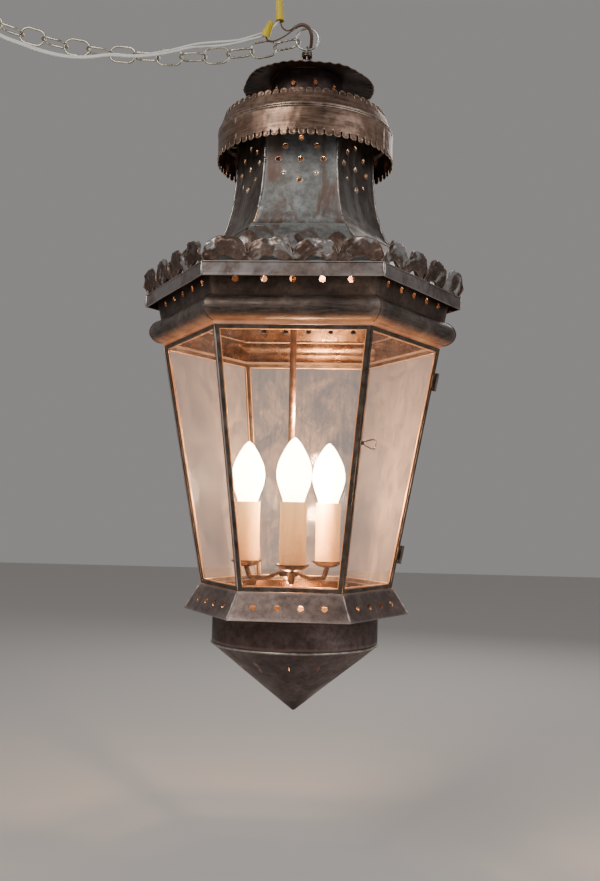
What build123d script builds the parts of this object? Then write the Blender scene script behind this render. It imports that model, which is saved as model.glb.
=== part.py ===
"""A hanging sheet-metal lantern: six glazed panes under a leaf-crested eave, a pierced chimney with a
scalloped crown, three candle lamps inside, and the ring, swag chain and wires that it hangs by.

Millimetres, +Z up. The origin is the top of the suspension ring's hole, where a hook carries it.
Levels are given from the eave's top edge, and hexagons by their corner radius, with a corner on +X.
"""

from math import atan2, cos, degrees, pi, radians, sin, sqrt, tan
import os

from build123d import *

os.makedirs("parts", exist_ok=True)

# Driving dimensions
EAVE_TOP = -387.25  # the eave's top edge below the origin
SHEET = 1.0  # thickness of the sheet metal
GAP = 0.4  # between pieces that move
EAVE_R = 220.0  # corner radius of the eave
GLASS_TOP_R, GLASS_TOP = 193.1, -71.9  # the glazed body's top corner radius and level
GLASS_LOW_R, GLASS_LOW = 131.1, -402.0  # and its bottom
PANE_COUNT = 6
CHIMNEY = [(95.5, 250), (95.5, 165), (98.5, 140), (101.5, 120), (108, 97), (113, 85), (117, 77), (125, 69)]
ROOF = [(125, 69), (138, 55), (156, 39), (180, 22), (214, 3)]
RING_R, RING_WIRE = 16.0, 3.5  # suspension ring: centreline radius and wire
LINK_LONG, LINK_WIDE, LINK_WIRE = 40.5, 26.0, 3.0  # a chain link's outer size and wire
LINK_PITCH = 34.2
CANDLE_X, CANDLE_R = -10.5, 66.0  # the candle cluster's axis and the candles' circle
CANDLE_ANGLES = [-81.6, 38.4, 158.4]
LAMP_CORD_D, CORE_D, WIRE_D = 5.0, 2.2, 3.6

SIDE_ANGLES = [-90 + 60 * k for k in range(PANE_COUNT)]  # outward direction of each side, front first
COS30 = cos(pi / 6)
TILT = atan2((GLASS_TOP_R - GLASS_LOW_R) * COS30, GLASS_TOP - GLASS_LOW)  # lean of a pane
PANE_TALL = (GLASS_TOP - GLASS_LOW) / cos(TILT)


def level(height):
    """A level measured from the eave's top edge, in the part's own frame."""
    return EAVE_TOP + height


def save(shape, node):
    shape.label = node
    export_step(shape, f"parts/{node}.step")


def joined(shapes):
    """Several shapes as one, fused where they touch."""
    shapes = list(shapes)
    return shapes[0] + shapes[1:] if len(shapes) > 1 else shapes[0]


def hexagon(radius, height):
    corners = [(radius * cos(k * pi / 3), radius * sin(k * pi / 3)) for k in range(6)]
    return Pos(0, 0, level(height)) * make_face(Polyline(*corners, close=True).edges())


def hex_solid(stations):
    """A solid with flat faces through hexagons of these corner radii and heights."""
    return loft([hexagon(radius, height) for radius, height in stations], ruled=True)


def hex_shell(stations, wall=SHEET):
    return hex_solid(stations) - hex_solid([(radius - wall / COS30, height) for radius, height in stations])


def round_shell(stations, wall=SHEET):
    """A turned sheet through (radius, height) stations, its wall measured inward."""
    outer = [(radius, level(height)) for radius, height in stations]
    inner = [(radius - wall, height) for radius, height in reversed(outer)]
    return revolve(Plane.XZ * make_face(Polyline(*outer, *inner, close=True).edges()), Axis.Z)


def torus_at(radius, wire, x, y, z):
    return Pos(x, y, z) * Torus(radius, wire / 2)


def wire_round(path, wire):
    """A round wire along a path."""
    start = Plane(path @ 0, z_dir=path % 0)
    return sweep(start * Circle(wire / 2), path=path)


def punches(places, hole, angle, depth, apothem):
    """Round punches through the side that faces this angle, at (along, height) places."""
    cut = Rot(0, 90, 0) * Cylinder(hole / 2, depth)
    return Rot(0, 0, angle) * Compound(
        [Pos(apothem, along, level(height)) * cut for along, height in places]
    )


# --- what the hook carries: ring, chain, ceiling hook ------------------------------------------------

RING_Z = RING_WIRE / 2 - RING_R
RING_FOOT = RING_Z - RING_R


def suspension_ring():
    return Pos(0, 0, RING_Z) * Rot(90, 0, 0) * Torus(RING_R, RING_WIRE / 2)


def chain_height(x):
    """The swag's line: nearly taut, lowest 185 mm out from the ring."""
    return level(348.0 + 0.00071 * (x + 185.0) ** 2)


def chain_places(count):
    """Centres and slopes of the links, one pitch apart along the swag's line."""
    places, x = [], -29.4
    for _ in range(count):
        slope = 2 * 0.00071 * (x + 185.0)
        places.append((x, chain_height(x), atan2(slope, 1)))
        x -= LINK_PITCH / sqrt(1 + slope**2)
    return places


LINK_COUNT = 14
LINKS = chain_places(LINK_COUNT)


def chain_link():
    """One oval link lying in the XY plane, long along X."""
    half, radius = (LINK_LONG - LINK_WIDE) / 2, (LINK_WIDE - LINK_WIRE) / 2
    outline = Polyline((-half, radius), (half, radius)) + RadiusArc((half, radius), (half, -radius), radius)
    outline += Polyline((half, -radius), (-half, -radius))
    outline += RadiusArc((-half, -radius), (-half, radius), radius)
    return wire_round(Wire(outline.edges()), LINK_WIRE)


def chain_links():
    link = chain_link()
    turned = [Rot(90 * (k % 2), 0, 0) * link for k in range(LINK_COUNT)]
    return Compound(
        [
            Pos(x, 0, z) * Rot(0, -degrees(slope), 0) * turned[k]
            for k, (x, z, slope) in enumerate(LINKS)
        ]
    )


HOOK_WIRE, HOOK_BEND = 4.4, 9.0
CEILING = 78.0  # the ceiling plate's underside, above the origin


def hook_seat():
    """Where the hook's wire lies in the last link."""
    x, z, slope = LINKS[-1]
    inside = LINK_LONG / 2 - LINK_WIRE - HOOK_WIRE / 2 - 0.3
    return x - inside * cos(slope), z - inside * sin(slope)


def ceiling_hook():
    """A screw hook: a straight shank, its bend in the YZ plane, and a short tip."""
    x, z = hook_seat()
    shank = Line((x, HOOK_BEND, CEILING + 22), (x, HOOK_BEND, z + HOOK_BEND))
    bend = ThreePointArc(
        (x, HOOK_BEND, z + HOOK_BEND), (x, 0, z), (x, -HOOK_BEND, z + HOOK_BEND)
    )
    tip = Line((x, -HOOK_BEND, z + HOOK_BEND), (x, -HOOK_BEND, z + HOOK_BEND + 7))
    return wire_round(Wire([shank, bend, tip]), HOOK_WIRE)


def ceiling_plate():
    """The plate at the ceiling, with a hole for the hook's shank and two for the wires."""
    x, _ = hook_seat()
    plate = Pos(x, HOOK_BEND, CEILING) * (
        Cylinder(26, 3, align=(Align.CENTER, Align.CENTER, Align.MIN))
        + Pos(0, 0, 3) * Cone(26, 20, 3, align=(Align.CENTER, Align.CENTER, Align.MIN))
    )
    return plate - Pos(x, HOOK_BEND, CEILING) * Cylinder(HOOK_WIRE / 2 + 0.05, 30)


# --- cords -------------------------------------------------------------------------------------------

LAMP_CORD = [
    (3, 15, -43), (3, 13.5, -34), (4, 8.5, -25.5), (6, 0.5, -19), (6.5, -7, -11.5),
    (3, -11, -3), (-5, -12, 1.5), (-12, -11.5, 1), (-18, -10.5, -2.5),
]
CORE_A = [
    (-18, -10.5, -1.2), (-22.5, -7.8, -3.6), (-28.5, -5.6, -4.6), (-34.5, -6, -1.6), (-38.3, -7.4, 4),
    (-38, -8, 10),
]
CORE_B = [
    (-18, -10.5, -3.8), (-25, -9, -8.6), (-33, -8, -13.8), (-42, -8.5, -19), (-50.5, -10, -22.5),
    (-57, -12, -21.5), (-59, -12.9, -14.6),
]
WHITE_A = [
    (-41, -8, 10), (-46, -6, 3), (-56, -3.5, -3), (-75, -4.5, -10.5), (-99, -10, -20.5),
    (-128, -15, -24.5), (-159, -17, -28), (-189, -19.5, -37.5), (-220, -20.5, -43.5),
    (-247, -20.5, -47), (-278, -20.5, -42.5), (-313, -18.5, -46.5), (-345, -16.5, -44),
    (-380, -15, -35), (-412, -14, -22.5), (-444, -13.5, -11), (-468, -15, 8), (-484, -18, 31),
    (-491, -17, 55), (-492, -11, 78),
]
WHITE_B = [
    (-60, -13, -13.4), (-67, -13.3, -17.2), (-80, -14.5, -20.8), (-98, -16, -26.5), (-120, -18, -31.5),
    (-143, -20.5, -34), (-165, -24, -36.5), (-190, -26, -44.5), (-220, -26.5, -49.5),
    (-248, -26.5, -51), (-279, -26, -47.5), (-313, -24, -51), (-345, -22, -48.5),
    (-380, -20.5, -39.5), (-412, -19.5, -27), (-444, -19, -15), (-467, -20, 4),
    (-478, -22, 28), (-481, -20, 53), (-479, -14, 78),
]


def cord(name, points, diameter):
    """A cord's tube: straight runs joined by arcs as large as the runs allow."""
    points = [Vector(*p) for p in points]
    runs = [b - a for a, b in zip(points, points[1:])]
    radii = [
        0.45 * min(a.length, b.length) / tan(radians(a.get_angle(b)) / 2)
        for a, b in zip(runs, runs[1:])
    ]
    path = FilletPolyline(*points, radius=radii)
    tube = wire_round(path, diameter)
    return tube


NUT_SKIRT, NUT_SKIRT_TALL = 6.5, 9.0  # radius and height of the wide end


def wire_nut(foot, long, lean, forward=0):
    """A ribbed twist-on connector, its skirt at foot, leaning to the right and towards the front."""
    low = Align.CENTER, Align.CENTER, Align.MIN
    body = Cone(NUT_SKIRT, NUT_SKIRT - 0.6, NUT_SKIRT_TALL, align=low)
    body += Pos(0, 0, NUT_SKIRT_TALL) * Cone(4.3, 3.8, long - NUT_SKIRT_TALL, align=low)
    rib = Box(1.6, 1.1, long - 5, align=low)
    body = joined([body, *[Rot(0, 0, 45 * k) * Pos(4.0, 0, 3.5) * rib for k in range(8)]])
    body -= Cylinder(5.0, 4.0, align=low)
    return Pos(*foot) * Rot(forward, lean, 0) * body


# --- hanger and crown --------------------------------------------------------------------------------

EYE_WIRE = 3.2
EYE_R = RING_WIRE / 2 + 0.3 + EYE_WIRE / 2  # centreline of the eye round the ring's foot
DISC_TOP = 318.0  # the crown disc's middle


def hanger_eye():
    """A wire over the ring's foot, its two legs flared where they are soldered to the disc."""
    foot = level(DISC_TOP) + 1.0
    arch = ThreePointArc(
        (0, -EYE_R, RING_FOOT), (0, 0, RING_FOOT + EYE_R), (0, EYE_R, RING_FOOT)
    )
    legs = [
        FilletPolyline(
            (0, s * EYE_R, RING_FOOT), (0, s * EYE_R, RING_FOOT - 16), (0, s * 6, foot), radius=8
        )
        for s in (-1, 1)
    ]
    return wire_round(Wire([*legs[0].edges(), *arch.edges(), *legs[1].edges()]), EYE_WIRE)


def hanger_binding():
    """Three turns of wire round the legs, and two stay wires splayed left and right to the disc."""
    radius, wire = EYE_R + EYE_WIRE / 2 + 1.3, 2.4
    turns = [torus_at(radius, wire, 0, 0, RING_FOOT - 5.2 - k * 2.3) for k in range(3)]
    top, low = RING_FOOT - 7.5, level(DISC_TOP) + 0.6
    stays = [
        wire_round(
            FilletPolyline((s * radius, 0, top), (s * radius, 0, top - 8), (s * 13, 0, low), radius=5),
            wire,
        )
        for s in (-1, 1)
    ]
    return joined([*turns, *stays])


def cord_bush():
    """The bush that the lamp cord comes out of, loose enough for the lantern to swing."""
    low = level(DISC_TOP) - 3
    tall = -41.5 - low
    tube = Pos(3, 15, low) * Cylinder(6.4, tall, align=(Align.CENTER, Align.CENTER, Align.MIN))
    return tube - Pos(3, 15, low) * Cylinder(5.4, 2 * tall)


def crown_disc():
    stations = [(94.5, 297), (80, 300.5), (60, 306), (40, 311.5), (20, 316), (0, DISC_TOP)]
    upper = [(r, level(z)) for r, z in stations]
    lower = [(r, z - SHEET) for r, z in reversed(upper)]
    disc = revolve(Plane.XZ * make_face(Polyline(*upper, *lower, close=True).edges()), Axis.Z)
    return disc - Pos(3, 15, level(DISC_TOP)) * Cylinder(6.5, 30)


DRUM_R, VENT_COUNT, VENT_HOLE = 50.0, 10, 6.6


def vent_drum():
    drum = round_shell([(DRUM_R, 307.4), (DRUM_R, 272)])
    vents = [
        Rot(0, 0, -90 + 360 / VENT_COUNT * (k + 0.5)) * Pos(DRUM_R, 0, level(287.5))
        * Rot(0, 90, 0) * Cylinder(VENT_HOLE / 2, 8)
        for k in range(VENT_COUNT)
    ]
    return drum - vents


def crown_shoulder():
    return round_shell([(DRUM_R + 1.2, 273), (DRUM_R + 1.2, 271), (112.5, 246)], 1.2)


BAND_R, TAB_SLOT = 122.7, 2.6


def tabbed(radius, low, high, count, pitch_depth, up):
    """A band whose free edge is cut into round-ended tabs."""
    band = round_shell([(radius[1], high), (radius[0], low)])
    edge, root = (high, high - pitch_depth) if up else (low, low + pitch_depth)
    middle = (edge + root) / 2
    slot = Pos(radius[0], 0, level(middle)) * Box(30, TAB_SLOT, pitch_depth + 0.6)
    return band - [Rot(0, 0, 360 / count * k) * slot for k in range(count)]


def band_lower():
    return tabbed((BAND_R, BAND_R), 184.4, 222.8, 65, 8.5, False)


def band_upper():
    return tabbed((BAND_R, 112.9), 227.8, 251.6, 64, 7.6, True)


def band_bead():
    """A double bead round the joint of the bands."""
    bulge = [(0, 222.8), (0.8, 223.2), (1.2, 224.0), (0.8, 224.9), (0.3, 225.3)]
    upper = [(out, 2 * 225.3 - height) for out, height in reversed(bulge[:-1])]
    return round_shell([(BAND_R + out, height) for out, height in [*bulge, *upper]], 1.4)


def chimney():
    """The flared shell, and six struts at its corners that carry the band."""
    tie = Pos(108, 0, level(215)) * Box(26.6, 9, 1.6)
    shell = hex_shell(CHIMNEY) + [Rot(0, 0, 60 * k) * tie for k in range(6)]
    rounds = [(0, 196), (-21, 185), (21, 185), (-30, 167), (0, 167), (30, 167)]
    stars = [(-22, 148.5), (21, 147), (-1, 137.7)]
    for angle in SIDE_ANGLES:
        shell -= punches(rounds, 6.6, angle, 12, 82.7)
        shell -= punches(stars, 3.6, angle, 14, 86.0)
    return shell


def roof():
    return hex_shell(ROOF)


# --- eave --------------------------------------------------------------------------------------------

LOBES = 4
LOBE = EAVE_R / LOBES


def cresting(angle):
    """The leaf cresting of one side: arched front lobes, and flat leaves behind their joints."""
    half, arch = LOBE / 2 - 0.4, 13.0
    outline = [
        Line((-half, 0), (-arch, 0)),
        ThreePointArc((-arch, 0), (0, 6.5), (arch, 0)),
        Line((arch, 0), (half, 0)),
        Line((half, 0), (half - 2, 12)),
        ThreePointArc((half - 2, 12), (0, 31), (-half + 2, 12)),
        Line((-half + 2, 12), (-half, 0)),
    ]
    front = extrude(make_face([e for part in outline for e in part.edges()]), 1.4)
    back = extrude(Pos(0, 22) * Ellipse(19, 20), 1.2)
    standing = Plane.YZ.location  # the outline's height along Z, its width along Y
    apothem = EAVE_R * COS30
    fronts = [
        Pos(apothem - 1.2, (k - (LOBES - 1) / 2) * LOBE, level(0.0)) * Rot(0, 14, 0) * standing * front
        for k in range(LOBES)
    ]
    backs = [
        Pos(apothem - 8.5, k * LOBE, level(0.4)) * Rot(0, -12, 0) * standing * back
        for k in range(-(LOBES // 2) + 1, LOBES // 2)
    ]
    return Rot(0, 0, angle) * Compound([*fronts, *backs])


def eave_fascia():
    return hex_shell([(EAVE_R, 0), (EAVE_R, -17)], 1.2)


def frieze():
    """A soffit inside the fascia and the pierced band that hangs from it."""
    soffit = hex_shell([(EAVE_R - 1.5, -7.4), (EAVE_R - 1.5, -8.6)], 13.1)
    wall = hex_shell([(204.7, -8.0), (198.8, -35.6)])
    for angle in SIDE_ANGLES:
        wall -= punches([(k * 35, -17.6) for k in range(-2, 3)], 8, angle, 16, 175)
    return soffit + wall


ROLL_R, ROLL_APOTHEM, ROLL_LEVEL = 16.0, 169.5, -52.0


def roll_moulding():
    """A half-round sheet carried round the hexagon, open on its inner side."""
    turns = [radians(90 - 15 * k) for k in range(13)]
    stations = [
        ((ROLL_APOTHEM + ROLL_R * cos(a)) / COS30, ROLL_LEVEL + ROLL_R * sin(a)) for a in turns
    ]
    inner = [
        ((ROLL_APOTHEM + (ROLL_R - SHEET) * cos(a)) / COS30, ROLL_LEVEL + ROLL_R * sin(a)) for a in turns
    ]
    return hex_solid(stations) - hex_solid([(inner[0][0] - 1.2, stations[0][1]), *inner[1:-1],
                                            (inner[-1][0] - 1.2, stations[-1][1])])


def glass_rail():
    """The rail under the roll that the panes hang from."""
    return hex_shell([(195.6, -68.2), (195.6, -71.4)], 7)


# --- panes -------------------------------------------------------------------------------------------

CAME, CAME_DEEP, GLASS = 5.4, 4.0, 2.2  # frame channel's face width and depth, and the glass


def pane_plane(angle):
    """On a pane's outer face, at the middle of its foot: x along it, y up it, z outward."""
    a, apothem = radians(angle), GLASS_LOW_R * COS30
    outward = Vector(cos(a) * cos(TILT), sin(a) * cos(TILT), -sin(TILT))
    up = Vector(cos(a) * sin(TILT), sin(a) * sin(TILT), cos(TILT))
    foot = Vector(apothem * cos(a), apothem * sin(a), level(GLASS_LOW))
    return Plane(foot, x_dir=up.cross(outward), z_dir=outward)


def trapezoid(inset, low=0.0, high=0.0):
    """A pane's outline, drawn in by inset from its slanted sides and by low and high from its ends."""
    def half(y):
        lean = (GLASS_TOP_R - GLASS_LOW_R) / 2 / PANE_TALL
        return GLASS_LOW_R / 2 + lean * y - inset / cos(atan2(lean, 1))
    a, b = low, PANE_TALL - high
    return make_face(Polyline((-half(a), a), (half(a), a), (half(b), b), (-half(b), b), close=True).edges())


def wedge(angle, clear=GAP):
    """The sixth of the lantern that one pane may fill."""
    far = 260.0
    side = far * tan(pi / 6)
    flat = make_face(Polyline((0, 0), (far, -side), (far, side), close=True).edges())
    body = Pos(0, 0, level(-430)) * extrude(flat, 400)
    return Rot(0, 0, angle) * Pos(2 * clear, 0, 0) * body


def pane_frame(angle):
    """A mitred frame of U channel, its groove open to the glass."""
    plane = pane_plane(angle)
    solid = plane * extrude(trapezoid(0.1, 0.4, 0.4), -CAME_DEEP)
    opening = plane * Pos(0, 0, 1) * extrude(trapezoid(CAME, CAME, CAME), -CAME_DEEP - 2)
    groove = plane * Pos(0, 0, -(CAME_DEEP - GLASS) / 2) * extrude(trapezoid(2.6, 2.4, 2.4), -GLASS)
    return (solid & wedge(angle)) - opening - groove


def pane_glass(angle):
    plane = pane_plane(angle)
    return plane * Pos(0, 0, -(CAME_DEEP - GLASS) / 2 - 0.05) * extrude(
        trapezoid(2.9, 2.7, 2.7), -GLASS + 0.1
    )


# --- door: the pane to the right of the front one ----------------------------------------------------

DOOR_ANGLE = -30
HINGE_OUT = 3.4  # the hinge axis, out from the corner's edge
KNUCKLE, KNUCKLE_R, PIN_R, BORE_R = 16.0, 2.5, 1.0, 1.06
HINGE_PLACES = [0.14, 0.86]  # shares of the corner's height
EAR = 4.0


def corner_frame(share):
    """At this share of the height of the corner on +X: z up the hinge axis, x outward."""
    radius = GLASS_LOW_R + (GLASS_TOP_R - GLASS_LOW_R) * share
    height = GLASS_LOW + (GLASS_TOP - GLASS_LOW) * share
    axis = Vector(GLASS_TOP_R - GLASS_LOW_R, 0, GLASS_TOP - GLASS_LOW).normalized()
    outward = Vector(axis.Z, 0, -axis.X)
    return Plane(Vector(radius, 0, level(height)) + outward * HINGE_OUT, x_dir=outward, z_dir=axis)


def leaf_angle():
    """Which way the door's face runs from the corner, in the corner's frame."""
    plane = corner_frame(0)
    along = Vector(GLASS_TOP_R * cos(pi / 3) - GLASS_TOP_R, -GLASS_TOP_R * sin(pi / 3), 0)
    return degrees(atan2(along.dot(plane.y_dir), along.dot(plane.x_dir)))


def tab(direction, tall, near, far, inward):
    """A plate from the hinge axis along a pane's face."""
    return Rot(0, 0, direction) * Pos((near + far) / 2, inward * 2.1, 0) * Box(far - near, 1.8, tall)


def door_frame():
    frame = pane_frame(DOOR_ANGLE)
    lean = leaf_angle()
    for share in HINGE_PLACES:
        knuckle = Cylinder(KNUCKLE_R, KNUCKLE) + tab(lean, KNUCKLE, 0.4, 9, -1)
        frame += corner_frame(share) * (knuckle - Cylinder(BORE_R, KNUCKLE + 2))
    return frame + latch_pin()


def door_hinge_pins():
    """Pins with an ear at each end, soldered to the frame beside the door."""
    lean = -leaf_angle()
    pin = Cylinder(PIN_R, KNUCKLE + 2 * (GAP + EAR))
    for s in (-1, 1):
        ear = Cylinder(2.4, EAR) + tab(lean, EAR, 0.6, 10, 1)
        pin += Pos(0, 0, s * (KNUCKLE / 2 + GAP + EAR / 2)) * ear
    return Compound([corner_frame(share) * pin for share in HINGE_PLACES])


LATCH_UP = 0.57  # share of the pane's height
LATCH_PIN_R, LATCH_WIRE = 1.4, 1.6


def latch_plane():
    """On the door's free stile, z outward and x across the glass."""
    plane = pane_plane(DOOR_ANGLE)
    y = LATCH_UP * PANE_TALL
    half = GLASS_LOW_R / 2 + (GLASS_TOP_R - GLASS_LOW_R) / 2 * LATCH_UP
    return Plane(plane.from_local_coords((-half + 3.4, y, 0)), x_dir=plane.x_dir, z_dir=plane.z_dir)


def latch_pin():
    """A headed pin that the wire loop turns on."""
    post = Pos(0, 0, -0.6) * Cylinder(LATCH_PIN_R, 4.8, align=(Align.CENTER, Align.CENTER, Align.MIN))
    head = Pos(0, 0, 3.2) * Cylinder(2.4, 1.2, align=(Align.CENTER, Align.CENTER, Align.MIN))
    return latch_plane() * (post + head)


def latch_loop():
    """A teardrop of wire with an eye round the pin."""
    eye_r = LATCH_PIN_R + 0.06 + LATCH_WIRE / 2
    eye = Torus(eye_r, LATCH_WIRE / 2) + Cylinder(eye_r, 0.8)
    eye -= Cylinder(LATCH_PIN_R + 0.06, 5)
    half = [(eye_r, 1.0), (28, 6.2), (36, 5.0)]
    outline = half + [(across, -up) for across, up in reversed(half)]
    loop = FilletPolyline(*[(across, up, 0) for across, up in outline], radius=3.0)
    drop = wire_round(loop, LATCH_WIRE)
    return latch_plane() * Pos(0, 0, 1.6) * (eye + drop)


# --- foot --------------------------------------------------------------------------------------------

DRUM_LOW_R = 113.0


def bottom_skirt():
    shell = hex_shell([(131.9, -402.3), (153.4, -436.4)])
    for angle in SIDE_ANGLES:
        shell -= punches([(y, -421) for y in (-44.5, -14.8, 14.8, 44.5)], 8, angle, 30, 124)
    floor = hex_solid([(153.4, -436.4), (153.4, -437.4)])
    return shell + (floor - Pos(0, 0, level(-437)) * Cylinder(DRUM_LOW_R - 6, 10))


def bottom_drum():
    return round_shell([(DRUM_LOW_R, -437.4), (DRUM_LOW_R, -476.6)])


def drum_bead():
    return torus_at(DRUM_LOW_R - 0.3, 2.8, 0, 0, level(-478))


SLIT_ANGLES = [-120, -90.5, -64.5, -35, -4, 26, 57, 88, 118, 149, 180, 210]  # cut by eye, near 30 apart


def bottom_cone():
    cone = round_shell([(DRUM_LOW_R - 0.5, -479.4), (60, -526.8), (1.05, -569.7)])
    slit = Pos(85.4, 0, level(-503.5)) * Rot(0, -42, 0) * Box(12, 2.2, 9)
    return cone - [Rot(0, 0, angle) * slit for angle in SLIT_ANGLES]


# --- candle cluster ----------------------------------------------------------------------------------

ROD_R, CROSSBAR = 4.65, 73.0
HUB = -384.0
SLEEVE_LOW, SLEEVE_TOP, SLEEVE_R = -370.0, -288.0, 17.5


def stem_crossbar():
    """A flat bar across the chimney's foot, its ends against the shell."""
    inside = hex_solid([(r - SHEET / COS30, z) for r, z in CHIMNEY])
    return (Pos(0, 0, level(CROSSBAR)) * Box(260, 14, 4)) & inside


def stem_rod():
    tall = CROSSBAR - 2 - (HUB + 6)
    rod = Pos(CANDLE_X, 0, level(HUB + 6)) * Cylinder(
        ROD_R, tall, align=(Align.CENTER, Align.CENTER, Align.MIN)
    )
    nut = Pos(CANDLE_X, 0, level(CROSSBAR - 2)) * extrude(RegularPolygon(9, 6), -6)
    return rod + nut


def cluster_hub():
    """The turned body under the rod that the arms come out of."""
    profile = [(0, 6), (9, 6), (13, 1), (13, -5), (8, -9), (5, -13), (0, -16)]
    return Pos(CANDLE_X, 0, level(HUB)) * revolve(
        Plane.XZ * make_face(Polyline(*profile, close=True).edges()), Axis.Z
    )


def at_candle(angle, shape):
    return Pos(CANDLE_X, 0, 0) * Rot(0, 0, angle) * Pos(CANDLE_R, 0, 0) * shape


def candle_arms():
    """Three tubes, each dipping from the hub and rising into its cup."""
    arm = FilletPolyline(
        (13.2 - CANDLE_R, 0, level(-386)), (-32, 0, level(-394)), (-6, 0, level(-394)),
        (0, 0, level(-378.6)), radius=5.5,
    )
    return Compound([at_candle(angle, wire_round(arm, 7.0)) for angle in CANDLE_ANGLES])


def drip_cup():
    profile = [(0, -378.5), (8, -378.5), (15, -376), (22, -370.5), (22, -369.5), (15, -372.6),
               (0, -373.6)]
    points = [(r, level(z)) for r, z in profile]
    return revolve(Plane.XZ * make_face(Polyline(*points, close=True).edges()), Axis.Z)


def drip_cups():
    return Compound([at_candle(angle, drip_cup()) for angle in CANDLE_ANGLES])


def candle_socket():
    low = Align.CENTER, Align.CENTER, Align.MIN
    body = Pos(0, 0, level(-372.4)) * Cylinder(14.4, 372.4 - 292, align=low)
    return body - Pos(0, 0, level(-324)) * Cylinder(13.5, 40, align=low)


def candle_sockets():
    return Compound([at_candle(angle, candle_socket()) for angle in CANDLE_ANGLES])


def candle_sleeves():
    sleeve = round_shell([(SLEEVE_R, SLEEVE_TOP), (SLEEVE_R, SLEEVE_LOW)], 1.2)
    return Compound([at_candle(angle, sleeve) for angle in CANDLE_ANGLES])


def bulb(angle):
    """A flame-shaped lamp on its screw cap."""
    profile = Polyline((0, level(-322)), (6, level(-320.5)), (13.1, level(-316)), (13.1, level(-292)))
    glass = Spline(
        (13.1, level(-292)), (17.5, level(-276)), (23, level(-256)), (20.5, level(-235)),
        (12, level(-217)), (3.5, level(-205.5)), (0, level(-203)),
        tangents=[(0.15, 1), (-1, 0.5)],
    )
    axis = Line((0, level(-203)), (0, level(-322)))
    face = make_face([*profile.edges(), *glass.edges(), *axis.edges()])
    return at_candle(angle, revolve(Plane.XZ * face, Axis.Z))


# --- everything --------------------------------------------------------------------------------------

save(suspension_ring(), "suspension_ring")
save(chain_links(), "chain_links")
save(ceiling_hook(), "ceiling_hook")
save(ceiling_plate(), "ceiling_plate")
save(cord("lamp_cord", LAMP_CORD, LAMP_CORD_D), "lamp_cord")
save(cord("cord_core_a", CORE_A, CORE_D), "cord_core_a")
save(cord("cord_core_b", CORE_B, CORE_D), "cord_core_b")
save(cord("white_wire_a", WHITE_A, WIRE_D), "white_wire_a")
save(cord("white_wire_b", WHITE_B, WIRE_D), "white_wire_b")
save(wire_nut((-39.5, -8, 9.0), 32, -3), "wire_nut_a")
save(wire_nut((-59.3, -13, -15.4), 21, 25, 25), "wire_nut_b")
save(hanger_eye(), "hanger_eye")
save(hanger_binding(), "hanger_binding")
save(cord_bush(), "cord_bush")
save(crown_disc(), "crown_disc")
save(vent_drum(), "vent_drum")
save(crown_shoulder(), "crown_shoulder")
save(band_upper(), "band_upper")
save(band_bead(), "band_bead")
save(band_lower(), "band_lower")
save(chimney(), "chimney")
save(roof(), "roof")
for number, side in enumerate(SIDE_ANGLES, 1):
    save(cresting(side), f"cresting_{number}")
save(eave_fascia(), "eave_fascia")
save(frieze(), "frieze")
save(roll_moulding(), "roll_moulding")
save(glass_rail(), "glass_rail")
for number, side in enumerate(SIDE_ANGLES, 1):
    if side == DOOR_ANGLE:
        save(door_frame(), "door_frame")
        save(pane_glass(side), "door_glass")
    else:
        save(pane_frame(side), f"pane_frame_{number}")
        save(pane_glass(side), f"pane_glass_{number}")
save(door_hinge_pins(), "door_hinge_pins")
save(latch_loop(), "latch_loop")
save(bottom_skirt(), "bottom_skirt")
save(bottom_drum(), "bottom_drum")
save(drum_bead(), "drum_bead")
save(bottom_cone(), "bottom_cone")
save(stem_crossbar(), "stem_crossbar")
save(stem_rod(), "stem_rod")
save(cluster_hub(), "cluster_hub")
save(candle_arms(), "candle_arms")
save(drip_cups(), "drip_cups")
save(candle_sockets(), "candle_sockets")
save(candle_sleeves(), "candle_sleeves")
for number, place in enumerate(CANDLE_ANGLES, 1):
    save(bulb(place), f"bulb_{number}")
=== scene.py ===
"""The hanging lantern's looks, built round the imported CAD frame. Metres, +Z up, origin at the ring."""

import random
from math import atan2, cos, exp, pi, radians, sin, sqrt

import bmesh
import bpy
from mathutils import Matrix, Vector, noise


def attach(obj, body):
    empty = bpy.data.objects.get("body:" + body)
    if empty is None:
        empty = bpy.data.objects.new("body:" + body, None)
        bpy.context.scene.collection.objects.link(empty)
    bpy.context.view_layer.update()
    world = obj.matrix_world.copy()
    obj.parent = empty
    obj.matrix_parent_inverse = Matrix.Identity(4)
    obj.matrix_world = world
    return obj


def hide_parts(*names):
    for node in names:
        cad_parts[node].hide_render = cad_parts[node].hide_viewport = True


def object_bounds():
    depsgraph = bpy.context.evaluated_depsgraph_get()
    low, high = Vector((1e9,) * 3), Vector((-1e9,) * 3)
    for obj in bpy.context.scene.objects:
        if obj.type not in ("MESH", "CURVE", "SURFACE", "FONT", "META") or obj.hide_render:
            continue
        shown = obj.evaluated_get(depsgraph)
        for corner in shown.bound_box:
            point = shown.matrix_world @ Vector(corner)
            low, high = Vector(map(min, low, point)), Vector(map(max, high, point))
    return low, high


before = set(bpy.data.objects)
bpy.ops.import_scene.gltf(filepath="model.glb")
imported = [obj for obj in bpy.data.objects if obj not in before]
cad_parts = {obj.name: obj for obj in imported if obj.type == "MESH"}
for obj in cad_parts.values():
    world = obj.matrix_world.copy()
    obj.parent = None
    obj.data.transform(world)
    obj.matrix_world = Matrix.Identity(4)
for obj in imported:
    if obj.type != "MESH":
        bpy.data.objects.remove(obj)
CAD_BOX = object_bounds()

MM = 0.001
EAVE_TOP = -387.25  # the eave's top edge, in millimetres below the origin
COS30 = cos(pi / 6)
SIDES = [-90 + 60 * k for k in range(6)]
random.seed(7)


def level(height):
    return EAVE_TOP + height


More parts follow.
